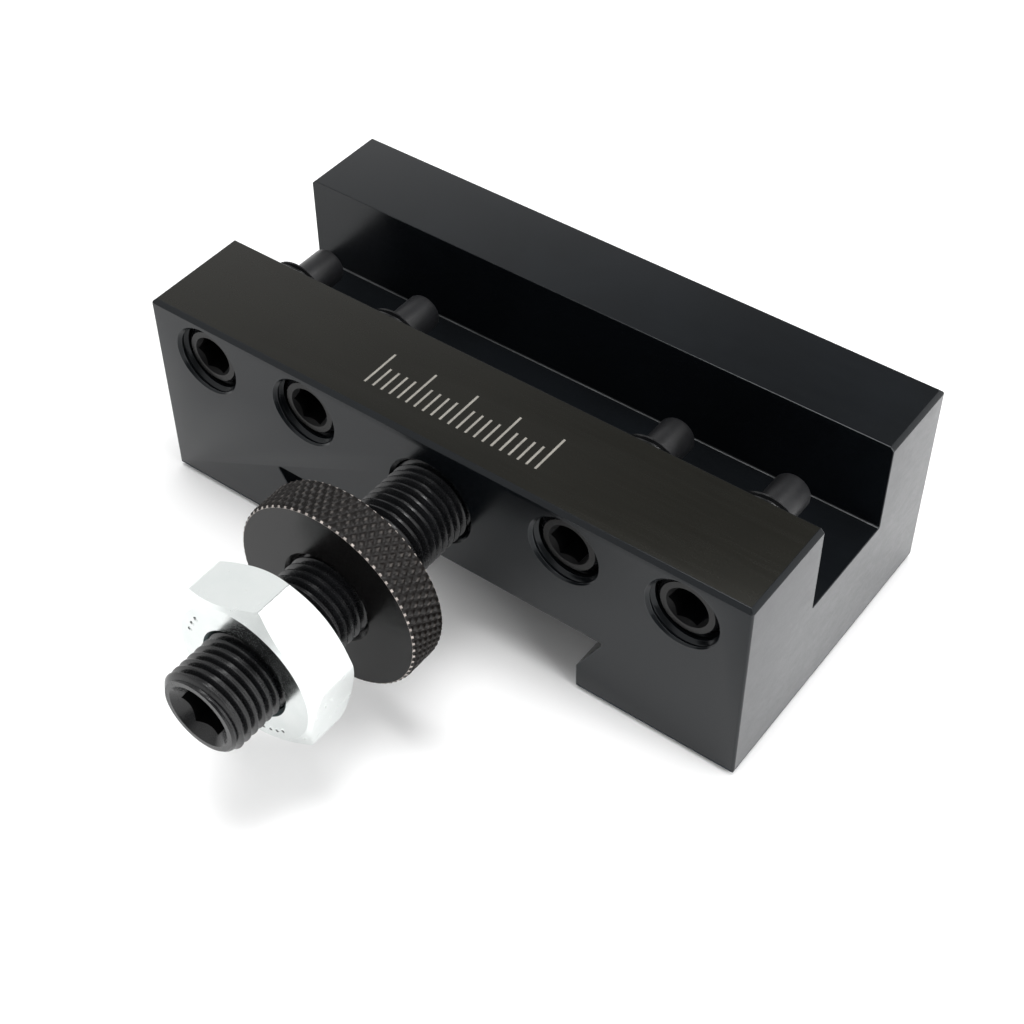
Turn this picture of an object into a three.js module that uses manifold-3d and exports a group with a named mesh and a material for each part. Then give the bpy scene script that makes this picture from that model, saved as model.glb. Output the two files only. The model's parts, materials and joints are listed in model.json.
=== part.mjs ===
// Quick change tool holder: a steel block with a tool slot on top, a dovetail channel underneath, four set
// screws that clamp a tool shank, and a threaded stud with a knurled nut and a lock nut that set its height.
// Millimetres, +Z up. X runs along the tool slot and Y from the stud's free end to the block's back face.
// The origin is the middle of the base of the bounding box, on the faces of the two dovetail legs.
import * as THREE from 'three';
import * as BufferGeometryUtils from 'three/addons/utils/BufferGeometryUtils.js';
import Module from 'manifold-3d';

const wasm = await Module();
wasm.setup();

// Block
const bodyLength = 77;
const bodyDepth = 38;
const frontJawThickness = 13.2;
const edgeChamfer = 0.5;

// Tool slot, along X
const slotWidth = 13.8;
const slotDepth = 11.5;
const slotFloorThickness = 4.5;

// Dovetail channel, along Y
const dovetailMouthWidth = 37.8;
const dovetailDepth = 9.4;
const dovetailLipHeight = 3.8;
const dovetailFlankAngle = 60;

// Set screws
const screwDiameter = 7.8;
const screwEndDistance = 7.5;
const screwSpacing = 14;
const screwBelowTop = 5.2;
const screwRecess = 1;
const screwInSlot = 2.4;
const screwTipDiameter = 4.3;
const screwTipLength = 5.45;
const screwChamfer = 0.6;
const screwSocketAcross = 4;
const screwSocketDepth = 4;
const screwMouthChamfer = 0.2;

// Height stud
const studDiameter = 9.7;
const studBelowTop = 8.4;
const studEndProjection = 6.4;
const studChamfer = 0.5;
const studSocketAcross = 5;
const studSocketDepth = 6;
const studHoleEndWall = 1.5;
const studMouthChamfer = 0.6;

// Knurled height nut
const knurledNutDiameter = 22.5;
const knurledNutThickness = 4.6;
const knurledNutStandoff = 11.9;
const knurledNutChamfer = 0.45;

// Lock nut
const lockNutAcross = 17;
const lockNutHeight = 6.3;
const lockNutStandoff = 5.8;
const lockNutTurn = 17;
const lockNutChamferAngle = 30;

// Nut mouths and the clearance between a thread and what it is screwed into
const nutMouthChamfer = 0.4;
const threadClearance = 0.3;

// Segments round a full turn
const roundSegments = 48;

// Places worked out from the sizes above
const bodyHeight = dovetailDepth + slotFloorThickness + slotDepth;
const knurledNutFace = knurledNutStandoff + knurledNutThickness;
const lockNutBack = knurledNutFace + lockNutStandoff;
const lockNutFace = lockNutBack + lockNutHeight;
const studReach = lockNutFace + studEndProjection;
const frontFaceY = (studReach - bodyDepth) / 2;
const slotFloorZ = bodyHeight - slotDepth;
const studZ = bodyHeight - studBelowTop;
const screwZ = bodyHeight - screwBelowTop;
const screwHoleRadius = screwDiameter / 2 + threadClearance;
const studHoleRadius = studDiameter / 2 + threadClearance;
const studHoleDepth = frontJawThickness - studHoleEndWall;

const outerScrewX = bodyLength / 2 - screwEndDistance;
const innerScrewX = outerScrewX - screwSpacing;
const screwPlaces = [-outerScrewX, -innerScrewX, innerScrewX, outerScrewX];

const degrees = Math.PI / 180;

// Turns a closed three.js geometry into a solid that can be joined and cut.
function toSolid(geometry) {
  const plain = geometry.clone();
  plain.deleteAttribute('normal');
  plain.deleteAttribute('uv');
  const merged = BufferGeometryUtils.mergeVertices(plain, 1e-4);
  const triangles = [];
  for (let i = 0; i < merged.index.count; i += 3) {
    const [a, b, c] = merged.index.array.slice(i, i + 3);
    if (a !== b && b !== c && c !== a) triangles.push(a, b, c);
  }
  return new wasm.Manifold(new wasm.Mesh({
    numProp: 3,
    vertProperties: new Float32Array(merged.attributes.position.array),
    triVerts: new Uint32Array(triangles),
  }));
}

// Turns a solid back into a three.js geometry with flat faces.
function toGeometry(solid) {
  const mesh = solid.getMesh();
  const geometry = new THREE.BufferGeometry();
  geometry.setAttribute('position', new THREE.BufferAttribute(new Float32Array(mesh.vertProperties), 3));
  geometry.setIndex(new THREE.BufferAttribute(new Uint32Array(mesh.triVerts), 1));
  const flat = geometry.toNonIndexed();
  flat.computeVertexNormals();
  return flat;
}

// An outline of [across, up] points pushed along a depth that is centred on zero.
function prism(points, depth) {
  const shape = new THREE.Shape(points.map(([across, up]) => new THREE.Vector2(across, up)));
  const geometry = new THREE.ExtrudeGeometry(shape, { depth, bevelEnabled: false });
  geometry.translate(0, 0, -depth / 2);
  return geometry;
}

// The outline is given in Y and Z, and the prism runs along X.
function prismAlongX(points, depth) {
  const geometry = prism(points, depth);
  geometry.rotateY(Math.PI / 2);
  geometry.rotateX(Math.PI / 2);
  return geometry;
}

// The outline is given in X and Z, and the prism runs along Y.
function prismAlongY(points, depth) {
  const geometry = prism(points, depth);
  geometry.rotateX(Math.PI / 2);
  return geometry;
}

// A turned solid on the Y axis, from a closed profile of [radius, y] points.
function turned(profile, segments = roundSegments) {
  const points = profile.map(([radius, y]) => new THREE.Vector2(radius, y));
  return new THREE.LatheGeometry(points, segments);
}

// A hexagonal prism on the Y axis, between two places on it, turned by an angle about it.
function hexPrism(across, fromY, toY, turn = 0) {
  const cornerRadius = across / 2 / Math.cos(30 * degrees);
  const corners = [];
  for (let i = 0; i < 6; i += 1) {
    const angle = (turn + 60 * i) * degrees;
    corners.push([cornerRadius * Math.cos(angle), cornerRadius * Math.sin(angle)]);
  }
  const geometry = prismAlongY(corners, toY - fromY);
  geometry.translate(0, (fromY + toY) / 2, 0);
  return geometry;
}

// A rectangle with its four corners cut off at 45 degrees.
function chamferedRectangle(low, high, cut) {
  return [
    [low[0] + cut, low[1]], [high[0] - cut, low[1]],
    [high[0], low[1] + cut], [high[0], high[1] - cut],
    [high[0] - cut, high[1]], [low[0] + cut, high[1]],
    [low[0], high[1] - cut], [low[0], low[1] + cut],
  ];
}

// The block is kept with its front face at y = 0 while it is cut.
function makeBody() {
  const cut = edgeChamfer;
  const slotBack = frontJawThickness + slotWidth;
  const margin = 1;

  const sideOutline = [
    [cut, 0], [bodyDepth - cut, 0], [bodyDepth, cut],
    [bodyDepth, bodyHeight - cut], [bodyDepth - cut, bodyHeight],
    [slotBack + cut, bodyHeight], [slotBack, bodyHeight - cut],
    [slotBack, slotFloorZ], [frontJawThickness, slotFloorZ],
    [frontJawThickness, bodyHeight - cut], [frontJawThickness - cut, bodyHeight],
    [cut, bodyHeight], [0, bodyHeight - cut], [0, cut],
  ];
  const planOutline = chamferedRectangle([-bodyLength / 2, 0], [bodyLength / 2, bodyDepth], cut);
  const endOutline = chamferedRectangle([-bodyLength / 2, 0], [bodyLength / 2, bodyHeight], cut);

  const mouth = dovetailMouthWidth / 2;
  const root = mouth + (dovetailDepth - dovetailLipHeight) / Math.tan(dovetailFlankAngle * degrees);
  const channelOutline = [
    [-mouth, -margin], [mouth, -margin], [mouth, dovetailLipHeight], [root, dovetailDepth],
    [-root, dovetailDepth], [-mouth, dovetailLipHeight],
  ];

  const sides = toSolid(prismAlongX(sideOutline, bodyLength));
  const plan = toSolid(prism(planOutline, bodyHeight).translate(0, 0, bodyHeight / 2));
  const ends = toSolid(prismAlongY(endOutline, bodyDepth).translate(0, bodyDepth / 2, 0));
  const channel = prismAlongY(channelOutline, bodyDepth + 2 * margin).translate(0, bodyDepth / 2, 0);
  let solid = sides.intersect(plan).intersect(ends).subtract(toSolid(channel));

  const screwMouth = screwHoleRadius + screwMouthChamfer;
  const screwHole = turned([
    [0, -margin], [screwMouth + margin, -margin], [screwHoleRadius, screwMouthChamfer],
    [screwHoleRadius, frontJawThickness + margin], [0, frontJawThickness + margin],
  ]);
  for (const x of screwPlaces) {
    solid = solid.subtract(toSolid(screwHole.clone().translate(x, 0, screwZ)));
  }

  const studMouth = studHoleRadius + studMouthChamfer;
  const studHole = turned([
    [0, -margin], [studMouth + margin, -margin], [studHoleRadius, studMouthChamfer],
    [studHoleRadius, studHoleDepth], [0, studHoleDepth],
  ]);
  solid = solid.subtract(toSolid(studHole.translate(0, 0, studZ)));
  return toGeometry(solid);
}

// The socket end of the set screw is at y = 0 and its tip points along +Y.
function makeSetScrew() {
  const radius = screwDiameter / 2;
  const tipRadius = screwTipDiameter / 2;
  const threadLength = frontJawThickness + screwInSlot - screwRecess;
  const tipEnd = threadLength + screwTipLength;
  const blank = turned([
    [0, 0], [radius - screwChamfer, 0], [radius, screwChamfer],
    [radius, threadLength - screwChamfer], [radius - screwChamfer, threadLength],
    [tipRadius, threadLength], [tipRadius, tipEnd - screwChamfer / 2],
    [tipRadius - screwChamfer / 2, tipEnd], [0, tipEnd],
  ]);
  const socket = hexPrism(screwSocketAcross, -1, screwSocketDepth);
  return toGeometry(toSolid(blank).subtract(toSolid(socket)));
}

// The free end of the stud is at y = 0 and it is screwed in along +Y.
function makeStud() {
  const radius = studDiameter / 2;
  const length = studReach + studHoleDepth - threadClearance;
  const blank = turned([
    [0, 0], [radius - studChamfer, 0], [radius, studChamfer],
    [radius, length - studChamfer], [radius - studChamfer, length], [0, length],
  ]);
  const socket = hexPrism(studSocketAcross, -1, studSocketDepth);
  return toGeometry(toSolid(blank).subtract(toSolid(socket)));
}

// The outer face of the knurled nut is at y = 0.
function makeKnurledNut() {
  const radius = knurledNutDiameter / 2;
  const bore = studHoleRadius;
  const far = knurledNutThickness;
  return turned([
    [bore + nutMouthChamfer, 0], [radius - knurledNutChamfer, 0], [radius, knurledNutChamfer],
    [radius, far - knurledNutChamfer], [radius - knurledNutChamfer, far],
    [bore + nutMouthChamfer, far], [bore, far - nutMouthChamfer],
    [bore, nutMouthChamfer], [bore + nutMouthChamfer, 0],
  ], 2 * roundSegments);
}

// The outer face of the lock nut is at y = 0. A cone at each end takes off its corners.
function makeLockNut() {
  const flatRadius = lockNutAcross / 2;
  const cornerRadius = flatRadius / Math.cos(30 * degrees);
  const faceRadius = flatRadius - 0.1 * (cornerRadius - flatRadius);
  const slope = Math.tan(lockNutChamferAngle * degrees);
  const outside = cornerRadius + 1;
  const drop = (outside - faceRadius) * slope;
  const bore = studHoleRadius;
  const far = lockNutHeight;
  const envelope = turned([
    [bore + nutMouthChamfer, 0], [faceRadius, 0], [outside, drop],
    [outside, far - drop], [faceRadius, far], [bore + nutMouthChamfer, far],
    [bore, far - nutMouthChamfer], [bore, nutMouthChamfer], [bore + nutMouthChamfer, 0],
  ]);
  const hexagon = hexPrism(lockNutAcross, -1, far + 1, lockNutTurn);
  return toGeometry(toSolid(envelope).intersect(toSolid(hexagon)));
}

function piece(name, geometry, material, x, y, z) {
  const mesh = new THREE.Mesh(geometry, material);
  mesh.name = name;
  mesh.position.set(x, y, z);
  return mesh;
}

const blackBlock = new THREE.MeshStandardMaterial({ color: 0x222326, roughness: 0.42, metalness: 0.9 });
const blackScrew = new THREE.MeshStandardMaterial({ color: 0x17181a, roughness: 0.35, metalness: 0.9 });
const blackKnurl = new THREE.MeshStandardMaterial({ color: 0x1f1b19, roughness: 0.4, metalness: 0.9 });
const brightZinc = new THREE.MeshStandardMaterial({ color: 0xd5dcdc, roughness: 0.25, metalness: 1 });

const holder = new THREE.Group();
holder.add(piece('holder_body', makeBody(), blackBlock, 0, frontFaceY, 0));

const setScrew = makeSetScrew();
screwPlaces.forEach((x, index) => {
  holder.add(piece(`set_screw_${index + 1}`, setScrew, blackScrew, x, frontFaceY + screwRecess, screwZ));
});

// Everything on the stud's axis is measured from the block's front face.
const onStud = new THREE.Group();
onStud.position.set(0, frontFaceY, studZ);
onStud.add(piece('height_stud', makeStud(), blackScrew, 0, -studReach, 0));
onStud.add(piece('knurled_height_nut', makeKnurledNut(), blackKnurl, 0, -knurledNutFace, 0));
onStud.add(piece('hex_lock_nut', makeLockNut(), brightZinc, 0, -lockNutFace, 0));
holder.add(onStud);

export default holder;
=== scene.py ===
"""Quick change tool holder: a blackened steel block with a tool slot, a dovetail channel, four set screws,
and a threaded stud that carries a knurled height nut and a zinc-plated lock nut.

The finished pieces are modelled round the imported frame, in metres, and each rides on its own body."""

import json
import math

import bmesh
import bpy
from bpy.props import FloatProperty, FloatVectorProperty, IntProperty, PointerProperty
from mathutils import Matrix, Vector

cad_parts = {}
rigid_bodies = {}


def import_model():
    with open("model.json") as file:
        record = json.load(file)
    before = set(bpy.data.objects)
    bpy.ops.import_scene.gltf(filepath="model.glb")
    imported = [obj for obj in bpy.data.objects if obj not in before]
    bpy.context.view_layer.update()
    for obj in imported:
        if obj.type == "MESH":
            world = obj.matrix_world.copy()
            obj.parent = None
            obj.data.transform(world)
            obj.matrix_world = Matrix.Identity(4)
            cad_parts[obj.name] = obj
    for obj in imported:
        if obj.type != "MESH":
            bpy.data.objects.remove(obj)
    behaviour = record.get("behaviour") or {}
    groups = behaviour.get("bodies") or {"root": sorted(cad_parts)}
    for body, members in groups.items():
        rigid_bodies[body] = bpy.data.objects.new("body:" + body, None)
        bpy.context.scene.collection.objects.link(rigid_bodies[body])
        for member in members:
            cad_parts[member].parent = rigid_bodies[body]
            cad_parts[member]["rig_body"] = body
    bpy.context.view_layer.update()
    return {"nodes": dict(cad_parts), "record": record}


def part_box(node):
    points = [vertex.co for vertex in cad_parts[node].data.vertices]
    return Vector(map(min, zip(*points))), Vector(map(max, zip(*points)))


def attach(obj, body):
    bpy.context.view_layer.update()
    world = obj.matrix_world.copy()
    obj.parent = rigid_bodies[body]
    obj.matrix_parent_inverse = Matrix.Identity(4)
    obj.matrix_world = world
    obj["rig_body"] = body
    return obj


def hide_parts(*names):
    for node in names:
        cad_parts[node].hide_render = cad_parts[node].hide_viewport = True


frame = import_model()

bl_info = {
    "name": "Quick Change Tool Holder",
    "version": (1, 0, 0),
    "blender": (4, 5, 0),
    "location": "View3D > Sidebar > Tool Holder",
    "description": "Builds a dovetail tool holder with its screws, stud and nuts",
    "category": "Add Mesh",
}

MM = 0.001
MARGIN = 1 * MM  # how far a cutting shape runs past the faces that it cuts
SKIN = 0.01 * MM  # a face whose middle is this close to a plane lies on it
HAIR = 0.001 * MM  # keeps a piece's crests just inside its packed box
TOUCH = 1e-6  # two places closer than this, in metres, are the same
MERGE = 1e-7  # two points closer than this, in metres, are merged


def round_box(node):
    """The low and high corner of a node that is round about Y, its axis and its radius."""
    low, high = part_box(node)
    return low, high, (low + high) / 2, (high.x - low.x) / 2


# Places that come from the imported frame.
BLOCK_LOW, BLOCK_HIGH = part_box("holder_body")
STUD_LOW, STUD_HIGH, STUD_AXIS, STUD_RADIUS = round_box("height_stud")
HEIGHT_NUT_LOW, HEIGHT_NUT_HIGH, _, HEIGHT_NUT_RADIUS = round_box("knurled_height_nut")
LOCK_NUT_LOW, LOCK_NUT_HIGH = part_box("hex_lock_nut")
SCREW_NODES = sorted(name for name in frame["nodes"] if name.startswith("set_screw_"))
MOUNT = {mount["name"]: Vector(mount["pos_m"]) for mount in frame["record"]["mounts"]}
SLOT_FLOOR_Z = MOUNT["tool_slot_floor"].z
SLOT_BACK_Y = MOUNT["tool_slot_back_wall"].y
CHANNEL_CEILING_Z = MOUNT["dovetail_channel"].z


def length(name, description, millimetres):
    return FloatProperty(name=name, description=description, default=millimetres * MM, unit="LENGTH")


def colour(name, description, red, green, blue):
    return FloatVectorProperty(
        name=name, description=description, default=(red, green, blue), size=3, min=0, max=1, subtype="COLOR"
    )


def number(name, description, value):
    return FloatProperty(name=name, description=description, default=value, min=0)


def angle(name, description, degrees):
    return FloatProperty(name=name, description=description, default=math.radians(degrees), subtype="ANGLE")


class BlockSizes(bpy.types.PropertyGroup):
    slot_width: length("Slot width", "Clear width of the tool slot", 13.8)
    mouth_width: length("Channel mouth", "Width of the dovetail channel between its lips", 37.8)
    lip_height: length("Lip height", "Height of the straight lip below each dovetail flank", 3.8)
    flank_angle: angle("Flank angle", "Angle of the dovetail flanks", 60)
    chamfer: length("Outer chamfer", "Width of the flat chamfer round the block's top", 0.45)
    foot_round: length("Foot round", "Radius of the edges round the block's feet", 0.9)
    upright_round: length("Upright round", "Radius of the block's four upright corners", 0.32)
    edge_break: length("Edge break", "Rounding of the edges that are only deburred", 0.12)
    corner_fillet: length("Corner fillet", "Radius left by the cutter in the slot's corners", 0.2)
    channel_fillet: length("Channel fillet", "Radius left by the cutter in the channel's corners", 0.6)
    screw_countersink: length("Screw countersink", "Depth of the countersink at each set screw's hole", 0.35)
    stud_countersink: length("Stud countersink", "Depth of the countersink at the stud's hole", 0.55)
    mark_pitch: length("Mark pitch", "Distance between the etched setting marks", 1.1)
    mark_width: length("Mark width", "Width of one etched mark", 0.3)
    mark_depth: length("Mark depth", "Depth of the etching", 0.05)
    mark_length: length("Mark length", "Length of the longer marks", 5.2)
    mark_start: length("Mark start", "Where the marks start, from the middle of the frame", 2.0)
    mark_count: IntProperty(name="Marks", description="Number of etched marks", default=21, min=2)


class ThreadSizes(bpy.types.PropertyGroup):
    stud_pitch: length("Stud pitch", "Pitch of the height stud's thread", 1.0)
    screw_pitch: length("Set screw pitch", "Pitch of the set screws' threads", 1.25)
    depth: number("Thread depth", "Depth of an outer thread as a share of its pitch", 0.6)
    tapped_depth: number("Tapped depth", "Depth of a tapped thread as a share of its pitch", 0.28)
    running_gap: length("Running gap", "Room between an outer thread's crests and the tapped thread", 0.07)
    steps: IntProperty(name="Steps per turn", description="Faces in one turn of a thread", default=48, min=12)


class FastenerSizes(bpy.types.PropertyGroup):
    screw_in_slot: length("Screw in slot", "How far a set screw's thread stands into the slot", 2.4)
    thread_end_chamfer: length("Thread end chamfer", "Chamfer of a set screw's thread at its tip", 0.45)
    tip_diameter: length("Tip diameter", "Diameter of a set screw's dog point", 4.3)
    tip_chamfer: length("Tip chamfer", "Rounding of a dog point's end", 0.45)
    screw_socket: length("Screw socket", "Width across flats of a set screw's socket", 4.0)
    stud_socket: length("Stud socket", "Width across flats of the stud's socket", 5.0)
    screw_mouth: length("Screw mouth", "Diameter of the cone at a set screw's socket", 4.9)
    stud_mouth: length("Stud mouth", "Diameter of the cone at the stud's socket", 7.3)
    socket_depth: length("Socket depth", "Depth of the hexagon sockets", 4.5)
    knurl_count: IntProperty(name="Knurl count", description="Teeth round the height nut", default=72, min=12)
    knurl_depth: length("Knurl depth", "Depth of the diamond knurl", 0.36)
    knurl_angle: angle("Knurl angle", "Slant of the knurl's grooves", 32)
    nut_chamfer: length("Height nut chamfer", "Chamfer on the rims of the height nut", 0.28)
    nut_countersink: length("Nut countersink", "Depth of the countersink at the height nut's mouth", 0.55)
    hex_countersink: length("Lock nut countersink", "Depth of the countersink at the lock nut's mouth", 0.35)
    hex_shoulder: length("Lock nut shoulder", "Width of the coned shoulder round the lock nut's faces", 0.45)
    hex_across: length("Lock nut width", "Width across flats of the lock nut", 17.0)
    hex_turn: angle("Lock nut turn", "Turn of the lock nut on the stud", 17)
    hex_edge: length("Lock nut edge", "Rounding of the lock nut's long edges", 0.25)
    punch_radius: length("Punch radius", "Radius of the punch marks on the lock nut's face", 0.32)
    punch_reach: length("Punch reach", "Distance of the punch marks from the stud's axis", 7.0)
    punch_turns: FloatVectorProperty(
        name="Punch turns", description="Where the punch marks are round the lock nut",
        default=[math.radians(turn) for turn in (143, 153, 163, 283, 291, 299, 307)], size=7, subtype="NONE",
    )


class FinishColours(bpy.types.PropertyGroup):
    oxide: colour("Black oxide", "Main colour of the blackened steel", 0.0022, 0.0028, 0.0036)
    # Painted sheen: the block's ends get a paler colour that stands for the light they catch.
    oxide_warm: colour("Warm oxide", "Olive tint of the ground top", 0.0046, 0.0044, 0.0030)
    end_sheen: colour("Sawn end", "Paler oxide on the block's two ends", 0.066, 0.068, 0.071)
    # Worn steel, also used to paint thin highlights along edges and in the slot's corner.
    worn_and_highlight: colour("Worn edge and highlight", "Steel that shows where an edge is rubbed", 0.15, 0.155, 0.16)
    thread: colour("Thread oxide", "Colour of the oiled screws and stud", 0.0030, 0.0031, 0.0035)
    knurl: colour("Knurl oxide", "Brown-black oxide of the knurled nut", 0.0062, 0.0047, 0.0041)
    # Rubbed crests, also painted as glints on the knurl's tips.
    knurl_crest_and_glint: colour("Knurl crest and glint", "Rubbed crests of the knurl", 0.058, 0.052, 0.048)
    nut_face: colour("Nut face", "Turned faces of the knurled nut", 0.0040, 0.0038, 0.0038)
    zinc: colour("Zinc", "Bright zinc plating", 0.83, 0.85, 0.84)
    zinc_shade: colour("Zinc shade", "Blue-green tint in the plating's hollows", 0.70, 0.745, 0.735)
    # Painted shade and reflection: the dark blue-green in the lock nut's mouth.
    zinc_mouth_shade: colour("Zinc mouth shade", "Blue-green plating in the lock nut's mouth", 0.12, 0.17, 0.175)
    etched: colour("Etched mark", "Pale etched steel", 0.30, 0.285, 0.255)
    floor: colour("Floor", "Plain pale floor", 0.93, 0.93, 0.93)


class StageSettings(bpy.types.PropertyGroup):
    floor_size: length("Floor size", "Half the width of the floor", 1600)
    azimuth: angle("Camera azimuth", "Camera's turn round the holder", 37.028)
    elevation: angle("Camera elevation", "Camera's angle above the floor", 46.049)
    roll: angle("Camera roll", "Camera's tilt about its own axis", -0.632)
    distance: length("Camera distance", "From the camera to the point that it looks at", 200.73)
    lens: FloatProperty(name="Lens", description="Focal length in millimetres", default=66.21)
    sky_base: number("Sky", "Strength of the studio light all round", 0.28)
    sky_left: number("Sky on the left", "Extra strength of the studio light on the left", 0.74)
    sky_right: number("Sky on the right", "Extra strength of the studio light on the right", 1.2)
    sky_front: number("Sky in front", "Extra strength of the studio light in front", 0.8)
    key: number("Key light", "Power of the overhead light in watts", 4.4)
    rim: number("Rim light", "Power of the small light high behind in watts", 0.8)
    side: number("Side light", "Power of the light on the right in watts", 0.85)


GROUPS = {
    "holder_block": BlockSizes,
    "holder_threads": ThreadSizes,
    "holder_fasteners": FastenerSizes,
    "holder_colours": FinishColours,
    "holder_stage": StageSettings,
}


# Meshes


def add_object(name, bm):
    """Turns a bmesh into an object at the origin."""
    bmesh.ops.recalc_face_normals(bm, faces=bm.faces)
    mesh = bpy.data.meshes.new(name)
    bm.to_mesh(mesh)
    bm.free()
    piece = bpy.data.objects.new(name, mesh)
    bpy.context.scene.collection.objects.link(piece)
    return piece


def edit(piece):
    bm = bmesh.new()
    bm.from_mesh(piece.data)
    return bm


def store(piece, bm):
    bm.to_mesh(piece.data)
    bm.free()


def combine(piece, tool, operation="DIFFERENCE"):
    """Cuts piece with tool, or keeps what the two share, and removes the tool."""
    modifier = piece.modifiers.new("combine", "BOOLEAN")
    modifier.operation = operation
    modifier.solver = "MANIFOLD"
    modifier.object = tool
    graph = bpy.context.evaluated_depsgraph_get()
    result = bpy.data.meshes.new_from_object(piece.evaluated_get(graph))
    if not result.polygons:
        raise RuntimeError(f"cutting {piece.name} with {tool.name} left nothing")
    piece.modifiers.clear()
    result.name = piece.name
    piece.data = result
    bpy.data.objects.remove(tool)


def smooth_by_angle(piece, limit):
    """Shades the piece smooth, with sharp edges where its faces meet at more than the limit."""
    bm = edit(piece)
    for face in bm.faces:
        face.smooth = True
    for edge in bm.edges:
        edge.smooth = len(edge.link_faces) == 2 and edge.calc_face_angle(math.pi) < limit
    store(piece, bm)


def bevel(bm, edges, offset, segments, **settings):
    bmesh.ops.bevel(
        bm, geom=edges, offset=offset, segments=segments, profile=0.5, affect="EDGES", material=-1, **settings
    )


def move_made(bm, made, offset):
    """Moves the points that an operator made."""
    verts = [part for part in made["geom"] if isinstance(part, bmesh.types.BMVert)]
    bmesh.ops.translate(bm, vec=offset, verts=verts)


def place_on(bm, axis, name):
    """Turns a bmesh that was built about Y into an object about axis."""
    bmesh.ops.translate(bm, vec=(axis.x, 0, axis.z), verts=bm.verts)
    return add_object(name, bm)


def reach_from(axis, point):
    """How far a point is from an axis along Y."""
    return math.hypot(point.x - axis.x, point.z - axis.z)


def prism(name, outline, offset):
    """A face through the outline's points, extruded by offset."""
    bm = bmesh.new()
    face = bm.faces.new([bm.verts.new(point) for point in outline])
    move_made(bm, bmesh.ops.extrude_face_region(bm, geom=[face]), offset)
    return add_object(name, bm)


def turned_bmesh(profile, steps):
    """A solid turned about Y from a profile of (radius, y) points that starts and ends on the axis."""
    bm = bmesh.new()
    verts = [bm.verts.new((radius, y, 0)) for radius, y in profile]
    edges = [bm.edges.new(pair) for pair in zip(verts, verts[1:])]
    bmesh.ops.spin(
        bm, geom=verts + edges, cent=(0, 0, 0), axis=(0, 1, 0), dvec=(0, 0, 0),
        angle=2 * math.pi, steps=steps, use_merge=True, use_duplicate=False,
    )
    bmesh.ops.remove_doubles(bm, verts=bm.verts, dist=MERGE)
    return bm


def turned(name, profile, axis, steps=96):
    return place_on(turned_bmesh(profile, steps), axis, name)


def corner_reach(across):
    """How far a hexagon's corners are from its middle, given its width across flats."""
    return across / 2 / math.cos(math.pi / 6)


def hexagon(name, across, start, end, axis, turn=0.0, edge=0.0):
    """A hexagonal prism along Y between two places, its long edges rounded if edge is given."""
    bm = bmesh.new()
    radius = corner_reach(across)
    bmesh.ops.create_cone(
        bm, cap_ends=True, segments=6, radius1=radius, radius2=radius, depth=end - start,
        matrix=Matrix.Rotation(math.pi / 2, 4, "X"),
    )
    if edge:
        long_edges = [e for e in bm.edges if abs(e.verts[0].co.y - e.verts[1].co.y) > (end - start) / 2]
        bevel(bm, long_edges, edge, 3)
    corner = max(bm.verts, key=lambda v: v.co.z).co
    now = math.atan2(corner.z, corner.x)
    bmesh.ops.rotate(bm, cent=(0, 0, 0), matrix=Matrix.Rotation(now - turn, 3, "Y"), verts=bm.verts)
    bmesh.ops.translate(bm, vec=(axis.x, (start + end) / 2, axis.z), verts=bm.verts)
    return add_object(name, bm)


# One pitch of thread: the share of the pitch along the axis, and the share of the depth.
THREAD_PROFILE = [
    (0.0, 0.0), (0.12, 0.0), (0.25, 0.44), (0.385, 0.9), (0.435, 1.0),
    (0.565, 1.0), (0.615, 0.9), (0.75, 0.44), (0.88, 0.0), (1.0, 0.0),
]


def thread_bmesh(radius, depth, pitch, start, end, start_radius, end_radius):
    """A right-hand thread along Y from start to end. Each end runs down at 45 degrees to its own radius."""
    steps = bpy.context.scene.holder_threads.steps
    turns = math.ceil((end - start) / pitch) + 3
    first = start - 1.5 * pitch
    bm = bmesh.new()
    verts = [bm.verts.new((radius - depth * (1 - up), first + pitch * along, 0))
             for along, up in THREAD_PROFILE]
    edges = [bm.edges.new(pair) for pair in zip(verts, verts[1:])]
    bmesh.ops.spin(
        bm, geom=verts + edges, cent=(0, 0, 0), axis=(0, 1, 0), dvec=(0, pitch / steps, 0),
        angle=2 * math.pi, steps=steps, use_duplicate=False,
    )
    one_turn = bm.verts[:] + bm.edges[:] + bm.faces[:]
    for turn in range(1, turns):
        move_made(bm, bmesh.ops.duplicate(bm, geom=one_turn), (0, turn * pitch, 0))
    bmesh.ops.remove_doubles(bm, verts=bm.verts, dist=pitch * 2e-3)
    for place, keep_above in ((start, True), (end, False)):
        bmesh.ops.bisect_plane(
            bm, geom=bm.verts[:] + bm.edges[:] + bm.faces[:], dist=MERGE, plane_co=(0, place, 0),
            plane_no=(0, 1, 0), clear_inner=keep_above, clear_outer=not keep_above,
        )
    bmesh.ops.holes_fill(bm, edges=[edge for edge in bm.edges if edge.is_boundary], sides=0)
    for vert in bm.verts:
        limit = min(start_radius + vert.co.y - start, end_radius + end - vert.co.y)
        now = math.hypot(vert.co.x, vert.co.z)
        if now > limit:
            vert.co.x *= limit / now
            vert.co.z *= limit / now
    return bm


def tapped_hole(piece, axis, radius, pitch, start, end):
    """Cuts a tapped hole along Y whose crests clear a screw of that radius."""
    threads = bpy.context.scene.holder_threads
    inner = radius + threads.running_gap
    depth = threads.tapped_depth * pitch
    bm = thread_bmesh(inner + depth, depth, pitch, start, end, inner + depth, inner + depth)
    combine(piece, place_on(bm, axis, "tap"))
    return inner


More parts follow.
